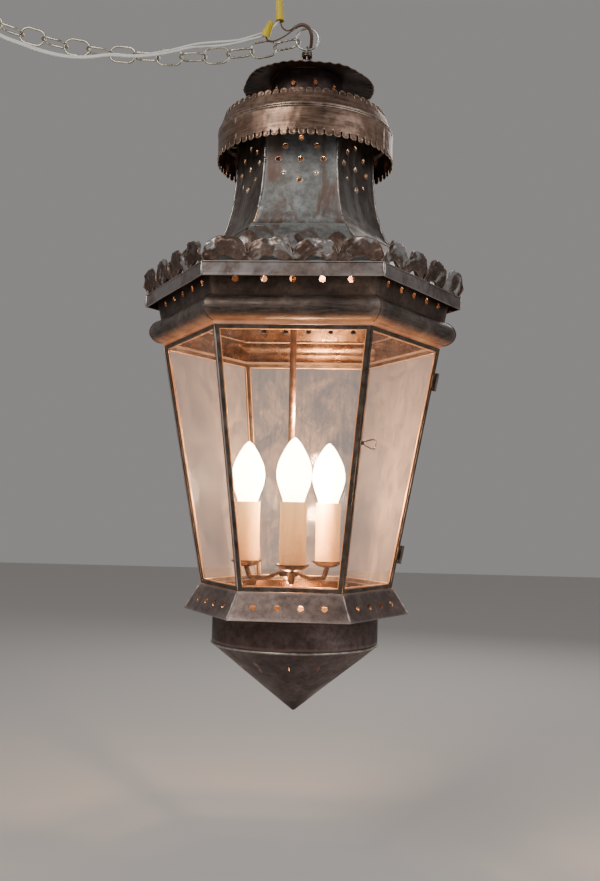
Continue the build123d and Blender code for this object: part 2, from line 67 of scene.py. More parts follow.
# --- camera, light, stage ----------------------------------------------------------------------------

LENS = 39.047
CAMERA_AT = Vector((0.0859, -1.3192, -0.68505))
YAW, PITCH, ROLL = radians(3.659), radians(4.131), radians(1.226)


def camera():
    forward = Vector((-sin(YAW) * cos(PITCH), cos(YAW) * cos(PITCH), sin(PITCH)))
    level_right = Vector((cos(YAW), sin(YAW), 0))
    level_up = level_right.cross(forward)
    right = cos(ROLL) * level_right + sin(ROLL) * level_up
    up = -sin(ROLL) * level_right + cos(ROLL) * level_up
    data = bpy.data.cameras.new("camera")
    data.lens, data.sensor_width, data.clip_start, data.clip_end = LENS, 36, 0.01, 30
    cam = bpy.data.objects.new("camera", data)
    cam.matrix_world = Matrix((right, up, -forward)).transposed().to_4x4()
    cam.location = CAMERA_AT
    bpy.context.collection.objects.link(cam)
    bpy.context.scene.camera = cam


def area_light(name, place, target, size, watts, colour):
    data = bpy.data.lights.new(name, "AREA")
    data.size, data.energy, data.color = size, watts, colour
    lamp = bpy.data.objects.new(name, data)
    lamp.location = place
    lamp.rotation_euler = (Vector(target) - Vector(place)).to_track_quat("-Z", "Y").to_euler()
    bpy.context.collection.objects.link(lamp)


def stage():
    floor_mat = bpy.data.materials.new("floor")
    floor_mat.use_nodes = True
    shader = floor_mat.node_tree.nodes["Principled BSDF"]
    shader.inputs["Base Color"].default_value = (0.62, 0.60, 0.58, 1)
    shader.inputs["Roughness"].default_value = 0.9
    bpy.ops.mesh.primitive_plane_add(size=14, location=(0, 0, CAD_BOX[0][2] - 0.25))
    floor = bpy.context.object
    floor.name = "floor"
    floor.data.materials.append(floor_mat)
    world = bpy.data.worlds.new("world")
    bpy.context.scene.world = world
    world.use_nodes = True
    world.node_tree.nodes["Background"].inputs["Color"].default_value = (0.62, 0.60, 0.59, 1)
    world.node_tree.nodes["Background"].inputs["Strength"].default_value = 0.42
    middle = (0, 0, -0.5)
    area_light("key", (-1.1, -1.9, 0.7), middle, 1.1, 26, (1.0, 0.95, 0.9))
    area_light("fill", (1.7, -1.2, -0.1), middle, 1.4, 12, (0.9, 0.94, 1.0))
    area_light("back", (0.5, 2.0, 0.6), middle, 1.4, 16, (1.0, 0.96, 0.92))


def inner_glow():
    """Warm lamps between the candles and up in the chimney, riding on the lantern."""
    for name, place, watts in (
        ("glow_low", (12, 0, -262), 7.0), ("glow_mid", (14, -6, -165), 4.0),
        ("glow_neck", (20, 10, 40), 1.6), ("glow_chimney", (14, -14, 150), 1.3),
        ("glow_foot", (-10, 4, -424), 2.2),
    ):
        data = bpy.data.lights.new(name, "POINT")
        data.energy, data.color, data.shadow_soft_size = watts, (1.0, 0.58, 0.28), 0.012
        lamp = bpy.data.objects.new(name, data)
        bpy.context.collection.objects.link(lamp)
        lamp.location = Vector((place[0], place[1], level(place[2]))) * MM
        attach(lamp, "lantern")


# --- materials ---------------------------------------------------------------------------------------


class Nodes:
    """A material's node tree with short ways to add to it."""

    def __init__(self, name):
        self.material = bpy.data.materials.new(name)
        self.material.use_nodes = True
        self.tree = self.material.node_tree
        self.shader = self.tree.nodes["Principled BSDF"]
        self.place = self.tree.nodes.new("ShaderNodeTexCoord").outputs["Object"]

    def add(self, kind, **inputs):
        node = self.tree.nodes.new(kind)
        for key, value in inputs.items():
            self.put(node.inputs[key.replace("_", " ")], value)
        return node

    def put(self, socket, value):
        if isinstance(value, bpy.types.NodeSocket):
            self.tree.links.new(value, socket)
        else:
            socket.default_value = value

    def noise(self, scale, detail=4, rough=0.55, stretch=None, distortion=0.0):
        place = self.place
        if stretch:
            place = self.add("ShaderNodeMapping", Vector=place, Scale=stretch).outputs[0]
        node = self.add(
            "ShaderNodeTexNoise", Vector=place, Scale=scale, Detail=detail, Roughness=rough,
            Distortion=distortion,
        )
        return node.outputs["Fac"]

    def ramp(self, value, stops):
        node = self.add("ShaderNodeValToRGB", Fac=value)
        ramp = node.color_ramp
        while len(ramp.elements) < len(stops):
            ramp.elements.new(0.5)
        for element, (at, colour) in zip(ramp.elements, stops):
            element.position = at
            grey = isinstance(colour, (int, float))
            element.color = (colour,) * 3 + (1,) if grey else (*colour, 1)
        return node.outputs["Color"]

    def mix(self, share, a, b):
        node = self.tree.nodes.new("ShaderNodeMix")
        node.data_type = "RGBA"
        self.put(node.inputs[0], share)
        for socket, value in ((node.inputs[6], a), (node.inputs[7], b)):
            self.put(socket, (*value, 1) if isinstance(value, tuple) else value)
        return node.outputs[2]

    def math(self, kind, a, b):
        node = self.tree.nodes.new("ShaderNodeMath")
        node.operation = kind
        self.put(node.inputs[0], a)
        self.put(node.inputs[1], b)
        return node.outputs[0]

    def rise(self, low, high):
        """0 at the low level and 1 at the high one."""
        height = self.add("ShaderNodeSeparateXYZ", Vector=self.place).outputs["Z"]
        low, high = level(low) * MM, level(high) * MM
        return self.add("ShaderNodeMapRange", Value=height, From_Min=low, From_Max=high).outputs[0]

    def bump(self, height, strength, distance, under=None):
        node = self.add("ShaderNodeBump", Height=height, Strength=strength, Distance=distance)
        if under is not None:
            self.put(node.inputs["Normal"], under)
        return node.outputs[0]

    def finish(self, **inputs):
        for key, value in inputs.items():
            self.put(self.shader.inputs[key.replace("_", " ")], value)
        return self.material


def aged_sheet(
    name, dark, mid, light, stain=None, solder=0.0, streak=None, runs=None, metallic=0.8, rough=0.46,
    hammer=0.35, painted_glow_from=None, painted_glow_to=None,
):
    """Old sheet metal: a mottled patina, stains, worn highlights, patches of solder and fine dents, and a
    painted orange glow between two heights when these are given.
    """
    n = Nodes(name)
    mottle = n.noise(14, 8, 0.62, distortion=0.6)
    colour = n.ramp(mottle, [(0.30, dark), (0.5, mid), (0.72, light)])
    fine = n.noise(120, 6, 0.7)
    colour = n.mix(n.ramp(fine, [(0.42, 0.0), (0.62, 0.5)]), colour, tuple(c * 0.45 for c in dark))
    if streak:
        brushed = n.noise(40, 5, 0.7, stretch=streak)
        colour = n.mix(n.ramp(brushed, [(0.45, 0.0), (0.75, 0.55)]), colour, light)
    if stain:
        patch = n.noise(9, 6, 0.6, stretch=runs, distortion=1.2)
        colour = n.mix(n.ramp(patch, [(0.50, 0.0), (0.60, 0.85)]), colour, stain)
    worn = n.add("ShaderNodeNewGeometry").outputs["Pointiness"]
    bright = tuple(min(1, c * 1.8) for c in light)
    colour = n.mix(n.ramp(worn, [(0.52, 0.0), (0.60, 0.6)]), colour, bright)
    roughness = n.ramp(n.noise(35, 5, 0.6), [(0.3, rough - 0.12), (0.7, rough + 0.14)])
    if solder:
        blob = n.ramp(n.noise(34, 5, 0.55, distortion=0.8), [(0.60 - solder, 0.0), (0.66 - solder, 1.0)])
        colour = n.mix(blob, colour, (0.44, 0.42, 0.41))
        roughness = n.mix(blob, roughness, (0.34, 0.34, 0.34))
    dents = n.bump(n.noise(45, 3, 0.5), hammer, 0.0012 if hammer < 0.5 else 0.0024)
    grain = n.bump(n.noise(420, 4, 0.7), 0.22, 0.0003, dents)
    if painted_glow_from is not None:
        # Painted glow: uneven orange emission rising across the given heights, standing in for lamp light
        # falling on the sheet.
        uneven = n.ramp(n.noise(26, 5, 0.65), [(0.3, (0.30, 0.07, 0.02)), (0.7, (1.0, 0.36, 0.12))])
        share = n.math("POWER", n.rise(painted_glow_from, painted_glow_to), 1.6)
        n.finish(Emission_Color=n.mix(share, (0.0, 0.0, 0.0), uneven), Emission_Strength=0.5)
    return n.finish(Base_Color=colour, Roughness=roughness, Metallic=metallic, Normal=grain)


def plain_metal(name, dark, light, rough=0.3, metallic=1.0, scale=60):
    n = Nodes(name)
    colour = n.ramp(n.noise(scale, 6, 0.65), [(0.35, dark), (0.65, light)])
    roughness = n.ramp(n.noise(scale * 2, 4, 0.6), [(0.3, rough - 0.08), (0.7, rough + 0.15)])
    return n.finish(
        Base_Color=colour, Roughness=roughness, Metallic=metallic,
        Normal=n.bump(n.noise(scale * 8, 3, 0.6), 0.15, 0.0003),
    )


def plastic(name, colour, shade, rough=0.38, scale=30):
    n = Nodes(name)
    tint = n.ramp(n.noise(scale, 4, 0.6), [(0.35, shade), (0.65, colour)])
    return n.finish(
        Base_Color=tint, Roughness=rough, Normal=n.bump(n.noise(scale * 14, 2, 0.5), 0.12, 0.0002)
    )


def dusty_glass_painted_glow():
    """Clear sheet glass under a film of dust, streaked where it was wiped downward, with a painted sheen
    at glancing angles and a painted warm glow strongest around the bulbs' height.
    """
    n = Nodes("dusty_glass_painted_glow")
    runs = n.noise(70, 8, 0.78, stretch=(3.0, 3.0, 0.22), distortion=0.3)
    smears = n.noise(16, 9, 0.75, distortion=1.6)
    streaks = n.ramp(n.math("MULTIPLY", n.math("ADD", runs, smears), 0.5), [(0.40, 0.0), (0.62, 1.0)])
    specks = n.ramp(n.noise(240, 2, 0.5), [(0.66, 0.0), (0.72, 1.0)])
    wipes = n.ramp(n.noise(260, 4, 0.7, stretch=(2.0, 2.0, 0.12)), [(0.52, 0.0), (0.74, 1.0)])
    # Painted sheen: the dust colour grows more opaque at glancing angles, standing in for reflection.
    sheen = n.add("ShaderNodeFresnel", IOR=1.5).outputs[0]
    dust_and_sheen = n.math("ADD", n.math("MULTIPLY", streaks, 0.075), 0.006)
    dust_and_sheen = n.math("ADD", dust_and_sheen, n.math("MULTIPLY", n.math("MULTIPLY", wipes, streaks), 0.10))
    dust_and_sheen = n.math("ADD", dust_and_sheen, n.math("MULTIPLY", specks, 0.16))
    dust_and_sheen = n.math("ADD", dust_and_sheen, n.math("MULTIPLY", sheen, 0.16))
    colour = n.ramp(streaks, [(0.0, (0.22, 0.17, 0.14)), (1.0, (0.62, 0.50, 0.42))])
    # Painted glow: warm emission by height, strongest around the bulbs, standing in for their light in the
    # glass.
    glow = n.ramp(n.rise(-402, -72), [(0.0, 0.30), (0.40, 1.0), (0.62, 0.45), (1.0, 0.08)])
    painted_glow = n.mix(glow, (0.0, 0.0, 0.0), (1.0, 0.50, 0.34))
    return n.finish(
        Base_Color=colour, Alpha=dust_and_sheen, Roughness=0.09, Metallic=0.0, IOR=1.9, Emission_Color=painted_glow,
        Emission_Strength=0.26,
    )


def lit_bulb():
    """Frosted glass glowing from its filament, warmer towards its foot and its outline."""
    n = Nodes("lit_bulb")
    warm = [(0.0, (1.0, 0.55, 0.26)), (0.25, (1.0, 0.78, 0.52)), (0.75, (1.0, 0.82, 0.60))]
    body = n.ramp(n.rise(-296, -203), warm)
    rim = n.add("ShaderNodeLayerWeight", Blend=0.35).outputs["Facing"]
    colour = n.mix(n.ramp(rim, [(0.45, 0.0), (1.0, 0.75)]), body, (1.0, 0.48, 0.20))
    return n.finish(
        Base_Color=(1.0, 0.93, 0.84, 1), Roughness=0.25, Emission_Color=colour, Emission_Strength=22.0,
        Normal=n.bump(n.noise(60, 3, 0.5), 0.1, 0.0005),
    )


def candle_card():
    """Cream candle sleeves with faint drips and scorch, and a painted glow at the top as if lit through.
    """
    n = Nodes("candle_card")
    drips = n.noise(30, 5, 0.6, stretch=(2.5, 2.5, 0.5))
    stains = n.ramp(drips, [(0.35, (0.60, 0.33, 0.14)), (0.65, (0.82, 0.52, 0.25))])
    # Painted glow, stronger towards the top, standing in for the bulbs' light through the card.
    warm = [(0.0, (0.32, 0.10, 0.02)), (0.65, (0.85, 0.36, 0.09)), (1.0, (1.0, 0.58, 0.20))]
    painted_glow = n.ramp(n.rise(-370, -288), warm)
    return n.finish(
        Base_Color=stains, Roughness=0.5, Emission_Color=painted_glow, Emission_Strength=0.9,
        Normal=n.bump(n.noise(90, 4, 0.5, stretch=(2, 2, 0.4)), 0.3, 0.0006),
    )


def painted_glow_copper():
    """Copper strips with a painted orange glow, standing in for the glazing bars' inner edges lit by the
    lamps behind them.
    """
    n = Nodes("painted_glow_copper")
    colour = n.ramp(n.noise(40, 6, 0.65), [(0.35, (0.42, 0.20, 0.09)), (0.65, (0.85, 0.50, 0.27))])
    # Painted glow: uneven orange emission.
    glow = n.ramp(n.noise(22, 5, 0.6), [(0.35, (0.35, 0.10, 0.03)), (0.7, (1.0, 0.46, 0.20))])
    return n.finish(
        Base_Color=colour, Roughness=0.4, Metallic=0.9, Emission_Color=glow, Emission_Strength=0.5,
        Normal=n.bump(n.noise(300, 3, 0.6), 0.2, 0.0003),
    )


MATERIALS = {
    "brown": aged_sheet(
        "brown_patina", (0.045, 0.030, 0.024), (0.115, 0.075, 0.058), (0.24, 0.165, 0.125),
    ),
    "inner": aged_sheet(
        "copper_inside", (0.10, 0.062, 0.042), (0.23, 0.145, 0.10), (0.40, 0.27, 0.185),
        rough=0.28, metallic=0.9,
    ),
    # The chimney's pale grey-green front sheet is partly a painted highlight over its stains; the darker
    # brown sides beside it are partly painted shade.
    "chimney": aged_sheet(
        "verdigris_and_highlight_sheet", (0.15, 0.135, 0.12), (0.30, 0.305, 0.295), (0.44, 0.48, 0.48),
        stain=(0.17, 0.10, 0.075), metallic=0.6, rough=0.46, runs=(2.6, 2.6, 0.45),
    ),
    "chimney_side": aged_sheet(
        "streaked_shaded_sheet", (0.06, 0.042, 0.034), (0.125, 0.09, 0.072), (0.24, 0.20, 0.175),
        stain=(0.20, 0.19, 0.175), metallic=0.7, rough=0.46, runs=(3.4, 3.4, 0.35),
    ),
    "band": aged_sheet(
        "brushed_copper", (0.11, 0.065, 0.047), (0.28, 0.17, 0.12), (0.60, 0.42, 0.32),
        streak=(0.6, 0.6, 9.0), metallic=0.9, rough=0.36,
    ),
    "fascia": aged_sheet(
        "grey_brown_sheet", (0.12, 0.092, 0.08), (0.235, 0.185, 0.165), (0.37, 0.315, 0.295),
        stain=(0.29, 0.265, 0.265), rough=0.44,
    ),
    "leaf": aged_sheet(
        "soldered_leaf", (0.07, 0.045, 0.036), (0.165, 0.11, 0.088), (0.30, 0.225, 0.185),
        solder=0.06, metallic=0.85, rough=0.42, hammer=0.7,
    ),
    "skirt": aged_sheet(
        "skirt_sheet", (0.12, 0.09, 0.08), (0.25, 0.19, 0.17), (0.42, 0.34, 0.31), rough=0.42,
    ),
    "band_wire": plain_metal("band_wire", (0.20, 0.14, 0.11), (0.55, 0.44, 0.37), rough=0.28),
    "pale_lip": plain_metal("pale_lip", (0.28, 0.25, 0.23), (0.58, 0.55, 0.52), rough=0.36, scale=120),
    # The roll's underside carries a painted orange glow, standing in for the lamps' light through the
    # glass.
    "roll": aged_sheet(
        "streaked_roll_painted_glow", (0.055, 0.04, 0.034), (0.135, 0.098, 0.08), (0.30, 0.235, 0.20),
        streak=(0.8, 0.8, 10.0), rough=0.4, painted_glow_from=-60.0, painted_glow_to=-69.0,
    ),
    "foot": aged_sheet(
        "purple_brown", (0.055, 0.036, 0.032), (0.115, 0.076, 0.068), (0.21, 0.15, 0.135),
    ),
    "came": plain_metal("came", (0.07, 0.055, 0.045), (0.20, 0.165, 0.14), rough=0.42),
    "came_edge_glow": painted_glow_copper(),
    "solder": plain_metal("solder", (0.30, 0.27, 0.25), (0.56, 0.53, 0.50), rough=0.3, scale=90),
    "steel": plain_metal("zinc_wire", (0.50, 0.50, 0.48), (0.80, 0.80, 0.77), rough=0.27),
    "chain": plain_metal(
        "tarnished_brass", (0.36, 0.33, 0.26), (0.80, 0.75, 0.62), rough=0.27, scale=90,
    ),
    "wire": plain_metal("tinned_wire", (0.16, 0.13, 0.11), (0.42, 0.38, 0.34), rough=0.36),
    "lamp_brass": plain_metal(
        "lamp_brass", (0.05, 0.034, 0.026), (0.19, 0.125, 0.08), rough=0.38, scale=110,
    ),
    "rod": plain_metal("rod", (0.18, 0.10, 0.065), (0.40, 0.24, 0.16), rough=0.42),
    "white": plastic("white_insulation", (0.86, 0.86, 0.83), (0.74, 0.74, 0.70)),
    "brown_cord": plastic("brown_insulation", (0.16, 0.09, 0.06), (0.10, 0.055, 0.04)),
    "yellow": plastic("yellow_plastic", (0.85, 0.68, 0.05), (0.70, 0.52, 0.03), rough=0.42),
    "rubber": plastic("black_rubber", (0.05, 0.05, 0.05), (0.03, 0.03, 0.03), rough=0.7),
    "glass": dusty_glass_painted_glow(),
    "bulb": lit_bulb(),
    "card": candle_card(),
}


# --- making pieces -----------------------------------------------------------------------------------


def piece(name, verts, faces, material, body="lantern", replaces=(), wall=0.0, inner=None, crease=40):
    """A mesh in millimetres as an object in metres, its wall thickened inward."""
    mesh = bpy.data.meshes.new(name)
    mesh.from_pydata([Vector(v) * MM for v in verts], [], faces)
    mesh.validate()
    for polygon in mesh.polygons:
        polygon.use_smooth = True
    mesh.set_sharp_from_angle(angle=radians(crease))
    obj = bpy.data.objects.new(name, mesh)
    bpy.context.collection.objects.link(obj)
    mesh.materials.append(MATERIALS[material])
    if wall:
        mesh.materials.append(MATERIALS[inner or material])
        solid = obj.modifiers.new("wall", "SOLIDIFY")
        solid.thickness, solid.offset = wall * MM, -1
        solid.material_offset = 1
        solid.material_offset_rim = 0
    settle(obj, body, replaces)
    return obj


def settle(obj, body, replaces=()):
    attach(obj, body)
    if replaces:
        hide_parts(*([replaces] if isinstance(replaces, str) else replaces))


def dent(place, size, *seed):
    """A smooth bump or hollow at this place, in millimetres."""
    p = Vector(place) * 0.011 + Vector((*seed, 0, 0)[:3])
    return size * (noise.noise(p) + 0.45 * noise.noise(p * 2.7) + 0.2 * noise.noise(p * 7.1))


def closed_grid(rings):
    """Vertices and faces of rings of points joined in order, each ring closed."""
    around = len(rings[0])
    verts = [p for ring in rings for p in ring]
    faces = []
    for i in range(len(rings) - 1):
        low, high = i * around, (i + 1) * around
        for j in range(around):
            m = (j + 1) % around
            faces.append((low + j, low + m, high + m, high + j))
    return verts, faces


def open_grid(rows):
    wide = len(rows[0])
    verts = [p for row in rows for p in row]
    faces = [
        (i * wide + j, i * wide + j + 1, (i + 1) * wide + j + 1, (i + 1) * wide + j)
        for i in range(len(rows) - 1)
        for j in range(wide - 1)
    ]
    return verts, faces


def smooth_stations(stations, count):
    """More stations on a smooth curve through these, as (radius, height)."""
    points = [Vector((*s, 0)) for s in stations]
    points = [2 * points[0] - points[1], *points, 2 * points[-1] - points[-2]]
    found = []
    spans = len(stations) - 1
    for i in range(count + 1):
        t = i / count * spans
        k = min(int(t), spans - 1)
        t -= k
        a, b, c, d = points[k : k + 4]
        square, cube = 2 * a - 5 * b + 4 * c - d, 3 * b - a - 3 * c + d
        p = 0.5 * (2 * b + (c - a) * t + square * t**2 + cube * t**3)
        found.append((p.x, p.y))
    return found


def hex_ring(radius, height, across, size, seed):
    """Points round a hexagon, dented outward and inward but straight at its corners."""
    ring = []
    for k in range(6):
        a, b = (
            Vector((radius * cos(t * pi / 3), radius * sin(t * pi / 3), level(height)))
            for t in (k, k + 1)
        )
        out = Vector((cos((k + 0.5) * pi / 3), sin((k + 0.5) * pi / 3), 0))
        for j in range(across):
            t = j / across
            p = a.lerp(b, t)
            ring.append(p + out * dent(p, size * min(1, 8 * t * (1 - t)), seed))
    return ring


def sheet(name, rings, material, wall=1.0, inner="inner", **rest):
    """Sheet metal through these rings of points, facing out."""
    verts, faces = closed_grid(rings)
    return piece(name, verts, [f[::-1] for f in faces], material, wall=wall, inner=inner, **rest)


def hex_sheet(name, stations, material, across=14, dents=0.7, seed=1.0, **rest):
    return sheet(name, [hex_ring(r, z, across, dents, seed) for r, z in stations], material, **rest)


def round_ring(radius, height, around, size=0.0, seed=0.0):
    ring = []
    for j in range(around):
        a = 2 * pi * j / around
        p = Vector((radius * cos(a), radius * sin(a), level(height)))
        r = radius + dent(p, size, seed)
        ring.append((r * cos(a), r * sin(a), level(height)))
    return ring


def round_sheet(name, stations, material, around=144, dents=0.5, seed=2.0, **rest):
    return sheet(name, [round_ring(r, z, around, dents, seed) for r, z in stations], material, **rest)


def ladder(a, b, steps):
    """Stations from a to b in even steps."""
    wide, tall = b[0] - a[0], b[1] - a[1]
    return [(a[0] + wide * k / steps, a[1] + tall * k / steps) for k in range(steps + 1)]


def apply_modifiers(obj):
    done = bpy.data.meshes.new_from_object(obj.evaluated_get(bpy.context.evaluated_depsgraph_get()))
    obj.modifiers.clear()
    obj.data = done


def hole_outline(radius, spikes):
    """A hole's outline: round, a ragged star, or a narrow slit when spikes is 1."""
    spin = random.random() * pi
    if spikes == 1:
        narrow = min(1.2, 0.12 * radius)
        return [(narrow * sin(2 * pi * k / 10), radius * cos(2 * pi * k / 10)) for k in range(10)]
    sides = 2 * spikes if spikes else 16
    found = []
    for k in range(sides):
        r = radius * (1 if not spikes or k % 2 else 0.3) * (1 + random.uniform(-0.06, 0.06))
        found.append((r * cos(spin + 2 * pi * k / sides), r * sin(spin + 2 * pi * k / sides)))
    return found


def upright(axis):
    """The turn that takes +Z to axis and keeps +Y as upright as it can."""
    z = Vector(axis).normalized()
    x = Vector((0, 0, 1)).cross(z).normalized()
    return Matrix((x, z.cross(x), z)).transposed()


def punch(obj, places):
    """Cuts holes right through: each place is (centre, axis, radius, spikes), in millimetres."""
    verts, faces = [], []
    for centre, axis, radius, spikes in places:
        turn, outline = upright(axis), hole_outline(radius, spikes)
        base, sides = len(verts), len(outline)
        for end in (-9, 9):
            verts += [Vector(centre) + turn @ Vector((x, y, end)) for x, y in outline]
        low, high = [base + k for k in range(sides)], [base + sides + k for k in range(sides)]
        faces += [tuple(reversed(low)), tuple(high)]
        faces += [(low[k], low[(k + 1) % sides], high[(k + 1) % sides], high[k]) for k in range(sides)]
    mesh = bpy.data.meshes.new("cutters")
    mesh.from_pydata([v * MM for v in verts], [], faces)
    fix = bmesh.new()
    fix.from_mesh(mesh)
    bmesh.ops.recalc_face_normals(fix, faces=fix.faces)
    fix.to_mesh(mesh)
    fix.free()
    cutter = bpy.data.objects.new("cutters", mesh)
    bpy.context.collection.objects.link(cutter)
    cut = obj.modifiers.new("holes", "BOOLEAN")
    cut.object, cut.operation, cut.solver = cutter, "DIFFERENCE", "EXACT"
    apply_modifiers(obj)
    bpy.data.objects.remove(cutter)


def tube_faces(base, around, section):
    """The faces of a closed ring of round section, whose first point has the index base."""
    faces = []
    for i in range(around):
        for k in range(section):
            j, m = (i + 1) % around, (k + 1) % section
            ring = (i * section + k, j * section + k, j * section + m, i * section + m)
            faces.append(tuple(base + q for q in ring))
    return faces


def burrs(name, places, radius, material, lift=0.5, wire=0.75):
    """The lips raised round punched holes: a thin uneven ring at each place."""
    verts, faces = [], []
    for centre, axis, *_ in places:
        turn, base = upright(axis), len(verts)
        around, section = 18, 6
        for i in range(around):
            a = 2 * pi * i / around
            fat = wire * (1 + 0.35 * random.uniform(-1, 1))
            for k in range(section):
                b = 2 * pi * k / section
                r = radius + fat * cos(b)
                up = lift + 0.6 * fat * sin(b)
                verts.append(Vector(centre) + turn @ Vector((r * cos(a), r * sin(a), up)))
        faces += tube_faces(base, around, section)
    return piece(name, verts, faces, material, crease=80)


def side_places(holes, apothem, radius, spikes=0, rise=0.0):
    """The holes of one side, at (along, height), repeated on all six; rise tips their axes up."""
    found = []
    for angle in SIDES:
        a = radians(angle)
        out, along = Vector((cos(a), sin(a), 0)), Vector((-sin(a), cos(a), 0))
        for y, z in holes:
            axis = out + Vector((0, 0, rise))
            found.append((out * apothem + along * y + Vector((0, 0, level(z))), axis, radius, spikes))
    return found


def bead(name, runs, radius, material, body="lantern", lumps=0.0, ring=6, replaces=()):
    """A round bead along each list of points, swelling and thinning by lumps."""
    verts, faces = [], []
    for run in runs:
        run = [Vector(p) for p in run]
        base = len(verts)
        for i, p in enumerate(run):
            ahead = run[min(i + 1, len(run) - 1)] - run[max(i - 1, 0)]
            turn = ahead.to_track_quat("Z", "Y")
            r = radius * (1 + lumps * noise.noise(p * 0.13) * 2)
            r *= 0.35 if i in (0, len(run) - 1) else 1
            for k in range(ring):
                a = 2 * pi * k / ring
                verts.append(p + turn @ Vector((r * cos(a), r * sin(a), 0)))
        for i in range(len(run) - 1):
            for k in range(ring):
                a, b = base + i * ring + k, base + i * ring + (k + 1) % ring
                faces.append((a, b, b + ring, a + ring))
        faces.append(tuple(base + k for k in reversed(range(ring))))
        faces.append(tuple(base + (len(run) - 1) * ring + k for k in range(ring)))
    return piece(name, verts, faces, material, body, replaces, crease=80)


def torus(name, circles, wire, material, body="lantern", replaces=(), around=160, section=12):
    """Rings of round wire, each (radius, x, y, z) lying flat."""
    verts, faces = [], []
    for radius, x, y, z in circles:
        base = len(verts)
        for i in range(around):
            a = 2 * pi * i / around
            for k in range(section):
                b = 2 * pi * k / section
                r = radius + wire / 2 * cos(b)
                verts.append((x + r * cos(a), y + r * sin(a), z + wire / 2 * sin(b)))
        faces += tube_faces(base, around, section)
    return piece(name, verts, faces, material, body, replaces, crease=80)


# --- cords -------------------------------------------------------------------------------------------

LAMP_CORD = [
    (3, 15, -43), (3, 13.5, -34), (4, 8.5, -25.5), (6, 0.5, -19), (6.5, -7, -11.5),
    (3, -11, -3), (-5, -12, 1.5), (-12, -11.5, 1), (-18, -10.5, -2.5),
]
CORE_A = [
    (-18, -10.5, -1.2), (-22.5, -7.8, -3.6), (-28.5, -5.6, -4.6), (-34.5, -6, -1.6), (-38.3, -7.4, 4),
    (-38, -8, 10),
]
CORE_B = [
    (-18, -10.5, -3.8), (-25, -9, -8.6), (-33, -8, -13.8), (-42, -8.5, -19), (-50.5, -10, -22.5),
    (-57, -12, -21.5), (-59, -12.9, -14.6),
]
WHITE_A = [
    (-41, -8, 10), (-46, -6, 3), (-56, -3.5, -3), (-75, -4.5, -10.5), (-99, -10, -20.5),
    (-128, -15, -24.5), (-159, -17, -28), (-189, -19.5, -37.5), (-220, -20.5, -43.5),
    (-247, -20.5, -47), (-278, -20.5, -42.5), (-313, -18.5, -46.5), (-345, -16.5, -44),
    (-380, -15, -35), (-412, -14, -22.5), (-444, -13.5, -11), (-468, -15, 8), (-484, -18, 31),
    (-491, -17, 55), (-492, -11, 78),
]
WHITE_B = [
    (-60, -13, -13.4), (-67, -13.3, -17.2), (-80, -14.5, -20.8), (-98, -16, -26.5), (-120, -18, -31.5),
    (-143, -20.5, -34), (-165, -24, -36.5), (-190, -26, -44.5), (-220, -26.5, -49.5),
    (-248, -26.5, -51), (-279, -26, -47.5), (-313, -24, -51), (-345, -22, -48.5),
    (-380, -20.5, -39.5), (-412, -19.5, -27), (-444, -19, -15), (-467, -20, 4),
    (-478, -22, 28), (-481, -20, 53), (-479, -14, 78),
]


def cord(name, points, diameter, material):
    curve = bpy.data.curves.new(name, "CURVE")
    curve.dimensions = "3D"
    curve.bevel_depth, curve.bevel_resolution, curve.resolution_u = diameter / 2 * MM, 5, 12
    curve.use_fill_caps = True
    spline = curve.splines.new("NURBS")
    spline.points.add(len(points) - 1)
    for point, place in zip(spline.points, points):
        point.co = (*[c * MM for c in place], 1)
    spline.order_u = 3
    spline.use_endpoint_u = True
    curve.materials.append(MATERIALS[material])
    obj = bpy.data.objects.new(name, curve)
    bpy.context.collection.objects.link(obj)
    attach(obj, "ring")
    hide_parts(name)
    obj.name = name + "_line"
    return obj


def cords():
    cord("lamp_cord", LAMP_CORD, 5.0, "brown_cord")
    cord("cord_core_a", CORE_A, 2.2, "brown_cord")
    cord("cord_core_b", CORE_B, 2.2, "brown_cord")
    cord("white_wire_a", WHITE_A, 3.6, "white")
    cord("white_wire_b", WHITE_B, 3.6, "white")


# --- crown and chimney -------------------------------------------------------------------------------

CRIMPS = 46
KNOCK_AT = radians(196)  # where the disc's rim was knocked down, and beside it pushed up
LIFT_AT = radians(222)
DISC_R, DISC_SHIFT = 93, 3.5  # the rim's radius, and how far it leans out of centre


def crown_disc():
    """A domed disc with a crimped and dented rim."""
    dome = [(3, 318), (20, 316), (40, 311.5), (60, 306), (80, 300.5), (DISC_R, 297.4)]
    profile = smooth_stations(dome, 26)
    around, rings = 384, []
    for radius, height in profile:
        ring = []
        rim = max(0.0, (radius - 72) / 21) ** 1.6
        for j in range(around):
            a = 2 * pi * j / around
            uneven = 0.55 + 0.9 * abs(noise.noise(Vector((3 * cos(a), 3 * sin(a), 9))))
            crimp = 0.75 * rim * uneven * sin(CRIMPS * a + 1.6 * sin(3 * a))
            wave = 2.0 * rim * noise.noise(Vector((2.2 * cos(a), 2.2 * sin(a), 0.4)))
            knock = -5.0 * rim * exp(-(((a - KNOCK_AT) / 0.20) ** 2))
            knock += 2.2 * rim * exp(-(((a - LIFT_AT) / 0.22) ** 2))
            p = Vector((radius * cos(a), radius * sin(a), 0))
            r = radius + 0.5 * rim * sin(CRIMPS * a + 1.4)
            x = r * cos(a) + DISC_SHIFT * (radius / DISC_R) ** 2
            ring.append((x, r * sin(a), level(height + crimp + wave + knock + dent(p, 0.9, 4.0))))
        rings.append(ring)
    verts, faces = closed_grid(rings)
    verts.append((0, 0, level(318.2)))
    faces += [(j, len(verts) - 1, (j + 1) % around) for j in range(around)]
    faces = [f[::-1] for f in faces]
    return piece("crown_disc_sheet", verts, faces, "brown", replaces="crown_disc", wall=0.9)


